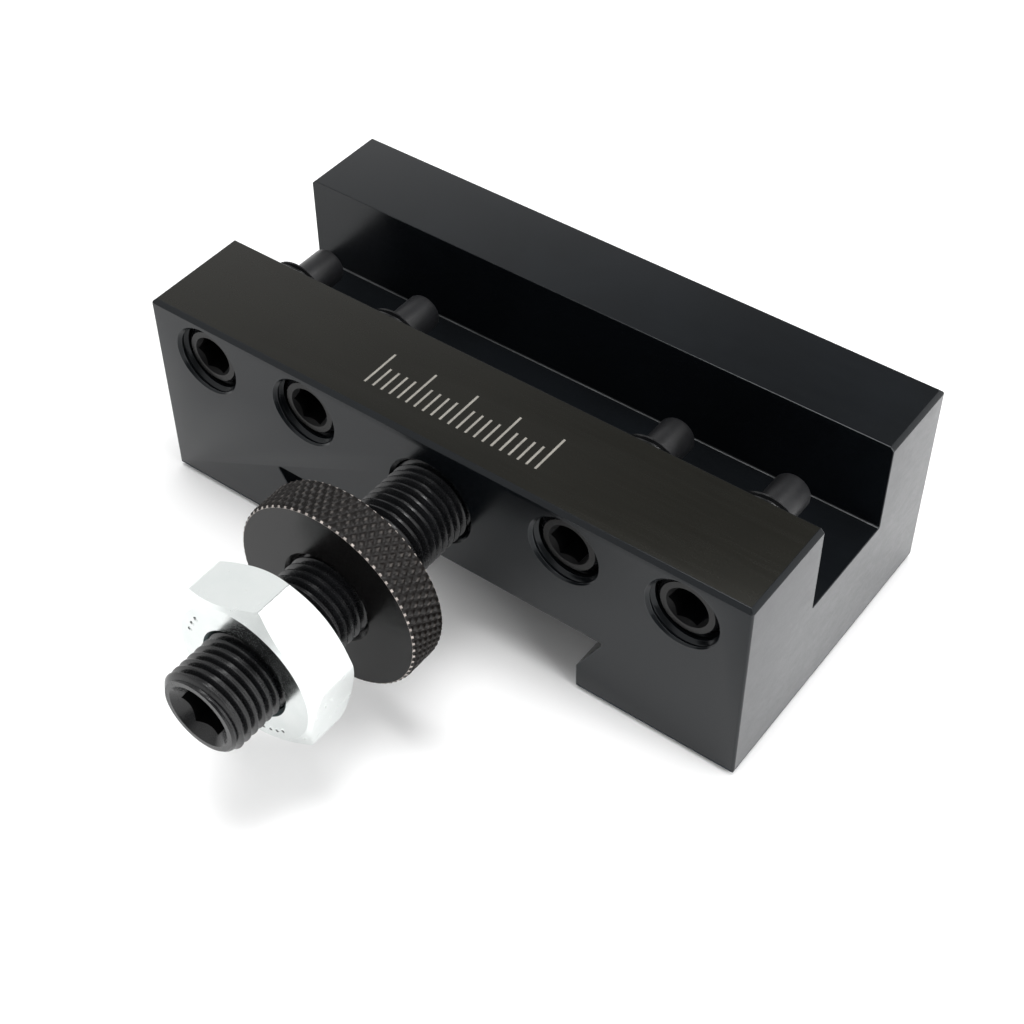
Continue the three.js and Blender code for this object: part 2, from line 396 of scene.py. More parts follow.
def countersink(piece, axis, radius, face_y, depth, outward):
    """Cuts a 45 degree countersink into the face at face_y, which looks along outward times Y."""
    above, below = face_y + outward * MARGIN, face_y - outward * depth
    profile = [(0, above), (radius + depth + MARGIN, above), (radius, below), (0, below)]
    combine(piece, turned("countersink", profile, axis))


DRILL_SHARE = 0.96  # a socket's drilled core as a share of its width across flats
DRILL_SLOPE = math.radians(31)  # slope of the cone at a drilled hole's bottom


def hex_socket(piece, axis, across, face_y, depth, mouth):
    """Cuts a hexagon socket into a face that looks along -Y, with a coned mouth and a drilled bottom."""
    top, bottom = face_y + MARGIN, face_y + depth
    combine(piece, hexagon("socket", across, face_y - MARGIN, bottom, axis))
    countersink(piece, axis, across / 2, face_y, (mouth - across) / 2, -1)
    drill = across / 2 * DRILL_SHARE
    profile = [(0, top), (drill, top), (drill, bottom), (0, bottom + drill * math.tan(DRILL_SLOPE))]
    combine(piece, turned("drill", profile, axis, 48))


def in_socket(face, axis, radius, face_y, depth):
    """Whether a face of a screw lies inside its socket, within radius of its axis."""
    return reach_from(axis, face.center) < radius and 2 * SKIN < face.center.y - face_y < depth + radius


def finish_piece(piece, body, nodes, materials, smooth_degrees=32):
    """Shades a finished piece, gives it its materials and ties it to the frame."""
    smooth_by_angle(piece, math.radians(smooth_degrees))
    piece.data.materials.clear()
    for material in materials:
        piece.data.materials.append(material)
    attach(piece, body)
    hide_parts(*nodes)


def body_of_node(node):
    return frame["nodes"][node]["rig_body"]


# Materials


def add_node(tree, kind, inputs=None, **settings):
    """Adds a node, sets its properties, and fills its inputs from values or from other nodes' outputs."""
    node = tree.nodes.new(kind)
    for name, value in settings.items():
        setattr(node, name, value)
    for key, value in (inputs or {}).items():
        if isinstance(value, bpy.types.NodeSocket):
            tree.links.new(value, node.inputs[key])
        else:
            node.inputs[key].default_value = value
    return node


def ramp(tree, value, low, high, start=0.0, end=1.0, **settings):
    """Takes a value from low to high over to the range from start to end."""
    given = {"Value": value, "From Min": low, "From Max": high, "To Min": start, "To Max": end}
    return add_node(tree, "ShaderNodeMapRange", given, **settings).outputs["Result"]


def combined(tree, operation, first, second, **settings):
    inputs = {0: first, 1: second}
    return add_node(tree, "ShaderNodeMath", inputs, operation=operation, **settings).outputs["Value"]


def vector_math(tree, operation, first, *second, output="Vector"):
    inputs = dict(enumerate((first, *second)))
    return add_node(tree, "ShaderNodeVectorMath", inputs, operation=operation).outputs[output]


def blend(tree, share, first, second, kind="RGBA"):
    inputs = {"Factor": share, "A": first, "B": second}
    return add_node(tree, "ShaderNodeMix", inputs, data_type=kind).outputs["Result"]


def noise(tree, place, scale, detail, **more):
    inputs = {"Vector": place, "Scale": scale, "Detail": detail, **more}
    return add_node(tree, "ShaderNodeTexNoise", inputs).outputs["Fac"]


def piece_place(tree):
    return add_node(tree, "ShaderNodeTexCoord").outputs["Object"]


NUMBER, VECTOR, COLOUR = "NodeSocketFloat", "NodeSocketVector", "NodeSocketColor"


def new_group(name, inputs, output):
    """A shader node group with named inputs (kind, default) and one output (name, kind)."""
    group = bpy.data.node_groups.new(name, "ShaderNodeTree")
    for label, (kind, default) in inputs.items():
        socket = group.interface.new_socket(label, in_out="INPUT", socket_type=kind)
        socket.default_value = default
    group.interface.new_socket(output[0], in_out="OUTPUT", socket_type=output[1])
    given = group.nodes.new("NodeGroupInput").outputs
    return group, given, group.nodes.new("NodeGroupOutput").inputs[output[0]]


def edge_wear_and_highlight_group():
    """Where an edge is rubbed, and where a thin highlight is painted along it: the difference between the
    rounded and the true normal, broken up by noise.
    """
    group, given, made = new_group(
        "Edge wear", {"Radius": (NUMBER, 0.2 * MM), "Amount": (NUMBER, 1.0), "Break Up": (NUMBER, 900.0)},
        ("Mask", NUMBER),
    )
    place = piece_place(group)
    rounded = add_node(group, "ShaderNodeBevel", {"Radius": given["Radius"]}, samples=6).outputs["Normal"]
    true = add_node(group, "ShaderNodeNewGeometry").outputs["Normal"]
    edge = ramp(group, vector_math(group, "DOT_PRODUCT", rounded, true, output="Value"), 0.995, 0.8)
    patches = ramp(group, noise(group, place, given["Break Up"], 4.0), 0.35, 0.65, 0.25, 1.0)
    broken = combined(group, "MULTIPLY", edge, patches)
    group.links.new(combined(group, "MULTIPLY", broken, given["Amount"], use_clamp=True), made)
    return group


def machined_grain_group():
    """Fine lines left by grinding or turning, stretched along one direction, with a finer grit over them."""
    group, given, made = new_group(
        "Machined grain", {"Stretch": (VECTOR, (1.0, 1.0, 1.0)), "Scale": (NUMBER, 1000.0)},
        ("Height", NUMBER),
    )
    place = piece_place(group)
    stretched = vector_math(group, "MULTIPLY", place, given["Stretch"])
    lines = noise(group, stretched, given["Scale"], 5.0, Roughness=0.65)
    finer = combined(group, "MULTIPLY", given["Scale"], 3.1)
    grit = noise(group, place, finer, 2.0)
    group.links.new(blend(group, 0.35, lines, grit, "FLOAT"), made)
    return group


def mottle_group():
    """Slow changes of tone over a surface, between two colours."""
    group, given, made = new_group(
        "Mottle",
        {"Colour A": (COLOUR, (0.0, 0.0, 0.0, 1.0)), "Colour B": (COLOUR, (1.0, 1.0, 1.0, 1.0)),
         "Scale": (NUMBER, 60.0), "Contrast": (NUMBER, 0.2)},
        ("Colour", COLOUR),
    )
    patches = noise(group, piece_place(group), given["Scale"], 6.0, Roughness=0.6, Distortion=0.4)
    low = combined(group, "SUBTRACT", 0.5, given["Contrast"])
    high = combined(group, "ADD", 0.5, given["Contrast"])
    tone = ramp(group, patches, low, high)
    group.links.new(blend(group, tone, given["Colour A"], given["Colour B"]), made)
    return group


# Places the painted glints, together with rubbing, on the outermost tips of a knurl.
def crest_group():
    """The outermost part of a turned piece: rises from 0 to 1 between two distances from its axis."""
    group, given, made = new_group(
        "Crest",
        {"Axis": (VECTOR, (0.0, 0.0, 0.0)), "Low": (NUMBER, 4.0 * MM), "High": (NUMBER, 5.0 * MM),
         "Break Up": (NUMBER, 1500.0)},
        ("Mask", NUMBER),
    )
    place = piece_place(group)
    from_axis = vector_math(group, "SUBTRACT", place, given["Axis"])
    across = vector_math(group, "MULTIPLY", from_axis, (1.0, 0.0, 1.0))
    rise = ramp(group, vector_math(group, "LENGTH", across, output="Value"), given["Low"], given["High"])
    patches = ramp(group, noise(group, place, given["Break Up"], 3.0), 0.42, 0.62, 0.1, 1.0)
    group.links.new(combined(group, "MULTIPLY", rise, patches), made)
    return group


EFFECTS = {"Edge wear": edge_wear_and_highlight_group, "Machined grain": machined_grain_group, "Mottle": mottle_group,
           "Crest": crest_group}


def effect(tree, name, inputs):
    """Places a shared effect in a material, and makes its group the first time."""
    group = bpy.data.node_groups.get(name) or EFFECTS[name]()
    return add_node(tree, "ShaderNodeGroup", inputs, node_tree=group)


def rgba(value):
    return (*value, 1.0)


def shade(value, share):
    """A colour made darker or lighter."""
    return [channel * share for channel in value]


def metal_material(name, main, second, rubbed, *, rough, grain, bump, stretch=(1.0, 1.0, 1.0), metallic=0.0,
                   ior=1.33, swing=0.05, mottle=70.0, contrast=0.16, edge=None, crest=None,
                   tint=(1.0, 1.0, 1.0)):
    """A machined metal finish: two mottled tones, with machining grain in its gloss and its relief.

    A rubbed tone can show along edges (edge = amount, radius) or on crests (crest = axis, low, high), where
    it also paints highlights and glints."""
    if name in bpy.data.materials:
        return bpy.data.materials[name]
    material = bpy.data.materials.new(name)
    material.use_nodes = True
    material.diffuse_color = rgba(main)
    tree = material.node_tree
    shader = tree.nodes["Principled BSDF"]
    shader.inputs["Metallic"].default_value = metallic
    shader.inputs["IOR"].default_value = ior
    shader.inputs["Specular Tint"].default_value = rgba(tint)
    colours = {"Colour A": rgba(main), "Colour B": rgba(second), "Scale": mottle, "Contrast": contrast}
    base = effect(tree, "Mottle", colours).outputs["Colour"]
    height = effect(tree, "Machined grain", {"Stretch": stretch, "Scale": grain}).outputs["Height"]
    if edge:
        mask = effect(tree, "Edge wear", {"Amount": edge[0], "Radius": edge[1]})
    elif crest:
        mask = effect(tree, "Crest", {"Axis": crest[0], "Low": crest[1], "High": crest[2]})
    if edge or crest:
        base = blend(tree, mask.outputs["Mask"], base, rgba(rubbed))
    gloss = ramp(tree, height, 0.3, 0.7, rough - swing, rough + swing)
    relief = add_node(tree, "ShaderNodeBump", {"Strength": 1.0, "Distance": bump, "Height": height})
    tree.links.new(base, shader.inputs["Base Color"])
    tree.links.new(gloss, shader.inputs["Roughness"])
    tree.links.new(relief.outputs["Normal"], shader.inputs["Normal"])
    return material


# Painted highlight: the edge mask lays thin bright lines of the worn colour along the block's edges.
def block_material():
    c = bpy.context.scene.holder_colours
    return metal_material(
        "Blackened block", c.oxide, shade(c.oxide, 1.6), c.worn_and_highlight, rough=0.22, stretch=(0.12, 1.0, 1.0),
        grain=1400.0, bump=0.0003 * MM, swing=0.03, edge=(0.5, 0.12 * MM), tint=(0.93, 0.97, 1.0),
    )


def ground_top_material():
    c = bpy.context.scene.holder_colours
    return metal_material(
        "Ground top", c.oxide_warm, shade(c.oxide_warm, 0.75), c.worn_and_highlight, rough=0.26, stretch=(0.06, 1.0, 1.0),
        grain=1500.0, bump=0.0003 * MM, swing=0.03, tint=(1.0, 0.99, 0.93),
    )


# Painted sheen: the block's two ends are made paler for the light that they reflect.
def end_sheen_material():
    c = bpy.context.scene.holder_colours
    return metal_material(
        "Sawn end", c.end_sheen, shade(c.end_sheen, 0.85), c.worn_and_highlight, rough=0.38, ior=1.5,
        stretch=(1.0, 0.5, 1.0), grain=900.0, bump=0.001 * MM, mottle=110.0, contrast=0.3,
    )


# Partly a rougher real finish, partly painted shade: the rounded feet are made less glossy to stand for the
# contact shade under the block.
def foot_shade_material():
    c = bpy.context.scene.holder_colours
    return metal_material(
        "Dull foot edge", shade(c.oxide, 5), shade(c.oxide, 9), c.worn_and_highlight, rough=0.6, ior=1.16, grain=900.0,
        bump=0.002 * MM,
    )


# Painted highlight: the thin bright line where the slot's floor meets its back wall.
def corner_highlight_material():
    c = bpy.context.scene.holder_colours
    return metal_material(
        "Burnished corner", shade(c.worn_and_highlight, 0.7), shade(c.worn_and_highlight, 0.2), c.worn_and_highlight, rough=0.35, metallic=0.9,
        grain=900.0, stretch=(0.3, 1.0, 1.0), bump=0.002 * MM, mottle=300.0, contrast=0.3,
    )


def thread_material():
    c = bpy.context.scene.holder_colours
    return metal_material(
        "Oiled black thread", c.thread, shade(c.thread, 2.2), c.worn_and_highlight, rough=0.25, ior=1.42, grain=1800.0,
        bump=0.004 * MM, mottle=260.0, swing=0.08,
    )


# Painted shade: the sockets and their coned mouths are made darker and duller for the shade inside them.
def socket_shade_material():
    c = bpy.context.scene.holder_colours
    return metal_material(
        "Sooty socket", shade(c.thread, 0.4), shade(c.thread, 0.7), c.worn_and_highlight, rough=0.5, ior=1.22,
        grain=1600.0, bump=0.001 * MM,
    )


def tip_material():
    c = bpy.context.scene.holder_colours
    return metal_material(
        "Matt black tip", shade(c.thread, 1.5), shade(c.thread, 3.0), c.worn_and_highlight, rough=0.40, ior=1.38,
        stretch=(1.0, 0.25, 1.0), grain=1600.0, bump=0.002 * MM, edge=(0.3, 0.1 * MM), mottle=300.0,
    )


def knurl_material():
    c = bpy.context.scene.holder_colours
    radius = HEIGHT_NUT_RADIUS
    return metal_material(
        "Brown black knurl", c.knurl, shade(c.knurl, 0.55), c.knurl_crest_and_glint, rough=0.42, ior=1.28, grain=1500.0,
        bump=0.002 * MM, mottle=240.0, contrast=0.2,
        # the crest mask paints glints, as well as rubbing, on the knurl's outermost tips
        crest=(STUD_AXIS, radius - 0.09 * MM, radius - 0.01 * MM),
    )


# Painted highlight: the bright dotted line along the knurled nut's chamfered rims, over their rubbing.
def rim_highlight_material():
    c = bpy.context.scene.holder_colours
    return metal_material(
        "Rubbed rim", shade(c.knurl_crest_and_glint, 9), shade(c.knurl_crest_and_glint, 3), c.knurl_crest_and_glint, rough=0.35,
        grain=1500.0, bump=0.001 * MM, mottle=900.0, contrast=0.2,
    )


def nut_face_material():
    c = bpy.context.scene.holder_colours
    return metal_material(
        "Turned nut face", c.nut_face, shade(c.nut_face, 1.4), c.knurl_crest_and_glint, rough=0.22, ior=1.28,
        grain=1200.0, bump=0.0005 * MM,
    )


def zinc_material():
    c = bpy.context.scene.holder_colours
    return metal_material(
        "Bright zinc", c.zinc, c.zinc_shade, c.zinc, rough=0.24, metallic=1.0, stretch=(1.0, 0.5, 1.0),
        grain=700.0, bump=0.0012 * MM, mottle=160.0, contrast=0.45, swing=0.06,
    )


# Painted shade: the lock nut's two faces are made darker than its flats for the light that they reflect.
def zinc_face_shade_material():
    c = bpy.context.scene.holder_colours
    return metal_material(
        "Dull zinc face", shade(c.zinc, 0.86), shade(c.zinc_shade, 0.86), c.zinc, rough=0.22, metallic=1.0,
        grain=1100.0, bump=0.001 * MM, mottle=300.0, contrast=0.3, swing=0.05,
    )


# Painted shade and reflection: the lock nut's mouth is given a dark blue-green colour.
def mouth_shade_material():
    c = bpy.context.scene.holder_colours
    return metal_material(
        "Zinc in the mouth", c.zinc_mouth_shade, shade(c.zinc_mouth_shade, 0.8), c.zinc, rough=0.42, metallic=1.0,
        grain=900.0, bump=0.001 * MM, mottle=200.0,
    )


def etched_material():
    c = bpy.context.scene.holder_colours
    return metal_material(
        "Etched mark", c.etched, shade(c.etched, 0.6), c.etched, rough=0.55, grain=2500.0, bump=0.004 * MM,
        mottle=900.0, contrast=0.3,
    )


def floor_material():
    material = bpy.data.materials.new("Pale floor")
    material.use_nodes = True
    shader = material.node_tree.nodes["Principled BSDF"]
    shader.inputs["Base Color"].default_value = rgba(bpy.context.scene.holder_colours.floor)
    shader.inputs["Roughness"].default_value = 0.9
    shader.inputs["Specular IOR Level"].default_value = 0.1
    return material


# The block


def slot_front():
    """Where the tool slot's front wall stands."""
    return SLOT_BACK_Y - bpy.context.scene.holder_block.slot_width


def block_outline(x):
    """The block seen from its end: a rectangle with the tool slot in its top."""
    places = [
        (BLOCK_LOW.y, BLOCK_LOW.z), (BLOCK_HIGH.y, BLOCK_LOW.z), (BLOCK_HIGH.y, BLOCK_HIGH.z),
        (SLOT_BACK_Y, BLOCK_HIGH.z), (SLOT_BACK_Y, SLOT_FLOOR_Z), (slot_front(), SLOT_FLOOR_Z),
        (slot_front(), BLOCK_HIGH.z), (BLOCK_LOW.y, BLOCK_HIGH.z),
    ]
    return [(x, y, z) for y, z in places]


def channel_outline(y):
    """The dovetail channel seen from the front, with a margin below the block."""
    sizes = bpy.context.scene.holder_block
    mouth = sizes.mouth_width / 2
    root = mouth + (CHANNEL_CEILING_Z - sizes.lip_height) / math.tan(sizes.flank_angle)
    below = BLOCK_LOW.z - MARGIN
    places = [
        (-mouth, below), (mouth, below), (mouth, sizes.lip_height), (root, CHANNEL_CEILING_Z),
        (-root, CHANNEL_CEILING_Z), (-mouth, sizes.lip_height),
    ]
    return [(x, y, z) for x, z in places]


def outside_axes(edge):
    """The axis of each outside face of the block that an edge lies on."""
    return [axis for axis in range(3) for side in (BLOCK_LOW, BLOCK_HIGH)
            if all(abs(vert.co[axis] - side[axis]) < TOUCH for vert in edge.verts)]


def outer_edge(edge):
    """An edge where the block's top or bottom meets one of its outside faces."""
    axes = outside_axes(edge)
    return len(axes) == 2 and 2 in axes


def upright_edge(edge):
    """One of the block's four upright corners."""
    return {0, 1} <= set(outside_axes(edge))


def is_above_channel(edge):
    return min(vert.co.z for vert in edge.verts) > CHANNEL_CEILING_Z + TOUCH


def sharp_edges(bm, degrees=20):
    """The edges where two faces meet at more than an angle."""
    return [e for e in bm.edges if len(e.link_faces) == 2 and e.calc_face_angle(0) > math.radians(degrees)]


def break_edges(piece):
    """Fillets the inner corners, chamfers the top, rounds the feet and uprights, and breaks other edges."""
    sizes = bpy.context.scene.holder_block
    bm = edit(piece)
    bmesh.ops.remove_doubles(bm, verts=bm.verts, dist=MERGE)
    bmesh.ops.dissolve_limit(bm, angle_limit=math.radians(1), verts=bm.verts, edges=bm.edges)
    for above, radius in ((True, sizes.corner_fillet), (False, sizes.channel_fillet)):
        hollow = [e for e in sharp_edges(bm) if e.calc_face_angle_signed(0) < 0]
        bevel(bm, [e for e in hollow if above == is_above_channel(e)], radius, 5)
    for above, offset, segments in ((True, sizes.chamfer, 1), (False, sizes.foot_round, 4)):
        outer = [e for e in sharp_edges(bm) if outer_edge(e) and above == is_above_channel(e)]
        bevel(bm, outer, offset, segments)
    bevel(bm, [e for e in sharp_edges(bm, 60) if upright_edge(e)], sizes.upright_round, 3)
    rest = [e for e in sharp_edges(bm, 30) if e.calc_face_angle_signed(0) > 0]
    bevel(bm, rest, sizes.edge_break, 2, clamp_overlap=True)
    store(piece, bm)


SHORT_MARK = 0.6  # length of a short mark as a share of a long one


def mark_block(piece):
    """Etches a row of setting marks into the front jaw's top, longer at each fifth one."""
    sizes = bpy.context.scene.holder_block
    bm = bmesh.new()
    for index in range(sizes.mark_count):
        place = index - (sizes.mark_count - 1) / 2
        reach = sizes.mark_length if place % 5 == 0 else SHORT_MARK * sizes.mark_length
        centre = (place * sizes.mark_pitch, sizes.mark_start + reach / 2, BLOCK_HIGH.z)
        size = Vector((sizes.mark_width, reach, 2 * sizes.mark_depth))
        bmesh.ops.create_cube(bm, size=1, matrix=Matrix.LocRotScale(centre, None, size))
    combine(piece, add_object("marks", bm))


# The block's materials, in the order in which it is given them.
PLAIN, TOP, MARK, END, CORNER, FOOT = range(6)
BLOCK_FINISHES = [block_material, ground_top_material, etched_material, end_sheen_material, corner_highlight_material,
                  foot_shade_material]


def block_finish(face):
    """Which of the block's materials a face has."""
    sizes = bpy.context.scene.holder_block
    centre, normal = face.center, face.normal
    on_front_jaw = BLOCK_LOW.y < centre.y < slot_front() and normal.z > 0.99
    if on_front_jaw and centre.z > BLOCK_HIGH.z - TOUCH:
        return TOP
    if on_front_jaw and abs(centre.z - BLOCK_HIGH.z + sizes.mark_depth) < TOUCH:
        return MARK
    # the block's ends take the paler colour of the painted sheen
    if abs(normal.x) > 0.99 and abs(centre.x) > BLOCK_HIGH.x - TOUCH:
        return END
    # the slot's inner corner takes the painted highlight
    if max(SLOT_BACK_Y - centre.y, centre.z - SLOT_FLOOR_Z) < sizes.corner_fillet and normal.y < -0.1:
        return CORNER
    # the rounded feet take the dull finish with painted contact shade
    if centre.z < sizes.foot_round and -0.999 < normal.z < -0.05:
        return FOOT
    return PLAIN


class HOLDER_OT_block(bpy.types.Operator):
    """Build the blackened block with its slot, dovetail channel, tapped holes and setting marks"""

    bl_idname = "holder.block"
    bl_label = "Block"

    def execute(self, context):
        sizes = context.scene.holder_block
        threads = context.scene.holder_threads
        width, depth, _ = BLOCK_HIGH - BLOCK_LOW
        block = prism("blackened_block", block_outline(BLOCK_LOW.x), (width, 0, 0))
        combine(block, prism("channel", channel_outline(BLOCK_LOW.y - MARGIN), (0, depth + 2 * MARGIN, 0)))
        break_edges(block)
        mark_block(block)
        start = BLOCK_LOW.y - MARGIN
        for node in SCREW_NODES:
            _, _, axis, radius = round_box(node)
            inner = tapped_hole(block, axis, radius, threads.screw_pitch, start, slot_front() + MARGIN)
            countersink(block, axis, inner, BLOCK_LOW.y, sizes.screw_countersink, -1)
            countersink(block, axis, inner, slot_front(), sizes.screw_countersink, 1)
        end = STUD_HIGH.y + threads.running_gap
        inner = tapped_hole(block, STUD_AXIS, STUD_RADIUS, threads.stud_pitch, start, end)
        countersink(block, STUD_AXIS, inner, BLOCK_LOW.y, sizes.stud_countersink, -1)
        finish_piece(block, "holder", ["holder_body"],
                     [make() for make in BLOCK_FINISHES], 15)
        for face in block.data.polygons:
            face.material_index = block_finish(face)
        return {"FINISHED"}


# A set screw's materials after the thread's, in order.
SCREW_TIP, SCREW_SOCKET, SCREW_FACE = 1, 2, 3


class HOLDER_OT_set_screws(bpy.types.Operator):
    """Build the four set screws with their threads, sockets and dog points"""

    bl_idname = "holder.set_screws"
    bl_label = "Set screws"

    def execute(self, context):
        sizes = context.scene.holder_fasteners
        threads = context.scene.holder_threads
        pitch = threads.screw_pitch
        depth = threads.depth * pitch
        thread_end = slot_front() + sizes.screw_in_slot
        for number_in_row, node in enumerate(SCREW_NODES, 1):
            low, high, axis, radius = round_box(node)
            end_radius = radius - sizes.thread_end_chamfer
            bm = thread_bmesh(radius, depth, pitch, low.y, thread_end, radius - depth, end_radius)
            screw = place_on(bm, axis, f"dog_point_screw_{number_in_row}")
            tip, edge = sizes.tip_diameter / 2, sizes.tip_chamfer
            profile = [(0, thread_end - pitch), (tip, thread_end - pitch), (tip, high.y - edge),
                       (tip - edge / 3, high.y - edge / 3), (tip - edge, high.y), (0, high.y)]
            combine(screw, turned("dog", profile, axis), "UNION")
            hex_socket(screw, axis, sizes.screw_socket, low.y, sizes.socket_depth, sizes.screw_mouth)
            finish_piece(screw, body_of_node(node), [node],
                         [thread_material(), tip_material(), socket_shade_material(), nut_face_material()])
            for face in screw.data.polygons:
                if face.center.y > thread_end + SKIN:
                    face.material_index = SCREW_TIP
                elif face.center.y < low.y + SKIN:
                    face.material_index = SCREW_FACE
                # faces inside the socket take the painted shade
                elif in_socket(face, axis, sizes.screw_mouth / 2, low.y, sizes.socket_depth):
                    face.material_index = SCREW_SOCKET
        return {"FINISHED"}


SOCKET_REACH = 0.56  # the faces of the stud's socket lie within this share of its width across flats


class HOLDER_OT_stud(bpy.types.Operator):
    """Build the threaded height stud with its hexagon socket"""

    bl_idname = "holder.stud"
    bl_label = "Height stud"

    def execute(self, context):
        sizes = context.scene.holder_fasteners
        threads = context.scene.holder_threads
        pitch = threads.stud_pitch
        depth = threads.depth * pitch
        end_radius = STUD_RADIUS - depth - 2 * SKIN
        bm = thread_bmesh(STUD_RADIUS, depth, pitch, STUD_LOW.y + HAIR, STUD_HIGH.y, end_radius, end_radius)
        stud = place_on(bm, STUD_AXIS, "threaded_stud")
        hex_socket(stud, STUD_AXIS, sizes.stud_socket, STUD_LOW.y, sizes.socket_depth, sizes.stud_mouth)
        finish_piece(stud, "holder", ["height_stud"],
                     [thread_material(), socket_shade_material()])
        reach = SOCKET_REACH * sizes.stud_socket
        # The socket's faces and cone take the painted shade.
        for face in stud.data.polygons:
            face.material_index = int(in_socket(face, STUD_AXIS, reach, STUD_LOW.y, sizes.socket_depth))
        return {"FINISHED"}


CREST_GAIN = 1.45  # above 1, the knurl's crests are worn flat
KNURL_ROWS = 30  # rows of faces along the knurl
TOOTH_STEPS = 6  # faces across one of its teeth


def knurl_height(turn, along, count, slope):
    """Height of a diamond knurl, from 0 in its grooves to 1 on its crests."""
    heights = []
    for sign in (1, -1):
        phase = (turn / (2 * math.pi) * count + sign * along * slope) % 1
        heights.append(1 - abs(2 * phase - 1))
    return min(1.0, CREST_GAIN * min(heights))


def round_crests(nut):
    """Shades the knurl smooth from crest to groove."""
    bm = edit(nut)
    for edge in bm.edges:
        if all(face.material_index == 0 for face in edge.link_faces):
            edge.smooth = True
    store(nut, bm)


def tapped_nut(nut, front, back, depth):
    """Taps a nut for the stud, with a countersink of that depth at each face."""
    pitch = bpy.context.scene.holder_threads.stud_pitch
    bore = tapped_hole(nut, STUD_AXIS, STUD_RADIUS, pitch, front - MARGIN, back + MARGIN)
    countersink(nut, STUD_AXIS, bore, front, depth, -1)
    countersink(nut, STUD_AXIS, bore, back, depth, 1)
    return bore


# A nut's materials after its outside's: the two faces, then the knurl's rims with their painted highlight or
# the hexagon's mouths with their painted shade.
NUT_FACE, NUT_EDGE = 1, 2


class HOLDER_OT_height_nut(bpy.types.Operator):
    """Build the knurled height nut"""

    bl_idname = "holder.height_nut"
    bl_label = "Height nut"

    def execute(self, context):
        sizes = context.scene.holder_fasteners
        front, back = HEIGHT_NUT_LOW.y, HEIGHT_NUT_HIGH.y
        radius = HEIGHT_NUT_RADIUS - HAIR
        chamfer, count = sizes.nut_chamfer, sizes.knurl_count
        rim = [(radius, front + (back - front) * row / KNURL_ROWS) for row in range(KNURL_ROWS + 1)]
        inner = radius - chamfer - 5 * SKIN
        bm = turned_bmesh([(0, front), (inner, front), *rim, (inner, back), (0, back)], TOOTH_STEPS * count)
        slope = math.tan(sizes.knurl_angle) / (2 * math.pi * radius / count)
        for vert in bm.verts:
            if math.hypot(vert.co.x, vert.co.z) < radius - TOUCH:
                continue
            turn = math.atan2(vert.co.z, vert.co.x)
            cut = sizes.knurl_depth * (1 - knurl_height(turn, vert.co.y - front, count, slope))
            edge = radius - chamfer + min(vert.co.y - front, back - vert.co.y)
            share = min(radius - cut, edge) / radius
            vert.co.x *= share
            vert.co.z *= share
        nut = place_on(bm, STUD_AXIS, "knurled_nut")
        tapped_nut(nut, front, back, sizes.nut_countersink)
        finish_piece(nut, body_of_node("knurled_height_nut"), ["knurled_height_nut"],
                     [knurl_material(), nut_face_material(), rim_highlight_material()], 12)
        for face in nut.data.polygons:
            from_rim = min(face.center.y - front, back - face.center.y)
            if reach_from(STUD_AXIS, face.center) < inner:
                face.material_index = NUT_FACE
            # the chamfered rims take the painted highlight
            elif from_rim < chamfer and abs(face.normal.y) > 0.55:
                face.material_index = NUT_EDGE
        round_crests(nut)
        return {"FINISHED"}


SHOULDER_SLOPE = math.radians(30)  # slope of the cone round a hexagon nut's faces
PUNCH_LIFT = 0.4  # height of a punch's centre above the face, as a share of its radius


class HOLDER_OT_lock_nut(bpy.types.Operator):
    """Build the zinc-plated hexagon lock nut"""

    bl_idname = "holder.lock_nut"
    bl_label = "Lock nut"

    def execute(self, context):
        sizes = context.scene.holder_fasteners
        front, back = LOCK_NUT_LOW.y, LOCK_NUT_HIGH.y
        across = sizes.hex_across
        nut = hexagon("zinc_lock_nut", across, front, back, STUD_AXIS, sizes.hex_turn, sizes.hex_edge)
        face_radius = across / 2 - sizes.hex_shoulder
        outside = corner_reach(across) + MARGIN
        drop = (outside - face_radius) * math.tan(SHOULDER_SLOPE)
        profile = [(0, front), (face_radius, front), (outside, front + drop), (outside, back - drop),
                   (face_radius, back), (0, back)]
        combine(nut, turned("cone", profile, STUD_AXIS, 144), "INTERSECT")
        bore = tapped_nut(nut, front, back, sizes.hex_countersink)
        bm = bmesh.new()
        middle = Vector((STUD_AXIS.x, front - PUNCH_LIFT * sizes.punch_radius, STUD_AXIS.z))
        for turn in sizes.punch_turns:
            place = middle + Vector((math.cos(turn), 0, math.sin(turn))) * sizes.punch_reach
            bmesh.ops.create_uvsphere(bm, u_segments=16, v_segments=8, radius=sizes.punch_radius,
                                      matrix=Matrix.Translation(place))
        combine(nut, add_object("punch", bm))
        finish_piece(nut, body_of_node("hex_lock_nut"), ["hex_lock_nut"],
                     [zinc_material(), zinc_face_shade_material(), mouth_shade_material()], 22)
        for face in nut.data.polygons:
            # the two faces take the zinc with painted shade
            if abs(face.normal.y) > 0.99:
                face.material_index = NUT_FACE
            # the mouth takes the painted blue-green shade
            elif reach_from(STUD_AXIS, face.center) < bore + sizes.hex_countersink:
                face.material_index = NUT_EDGE
        return {"FINISHED"}


# The stage


# The middle of the view.
LOOK_AT = Vector((5.365, 5.611, 12.7)) * MM

# Each studio light: the setting of its power, its place, what it points at and its width.
LIGHTS = {
    "overhead": ("key", (-0.04, 0.04, 0.78), LOOK_AT, 0.4),
    "rim": ("rim", (0.2, 0.45, 0.66), LOOK_AT, 0.14),
    "right": ("side", (0.34, -0.03, 0.14), (0.06, 0.02, 0.0), 0.2),
}

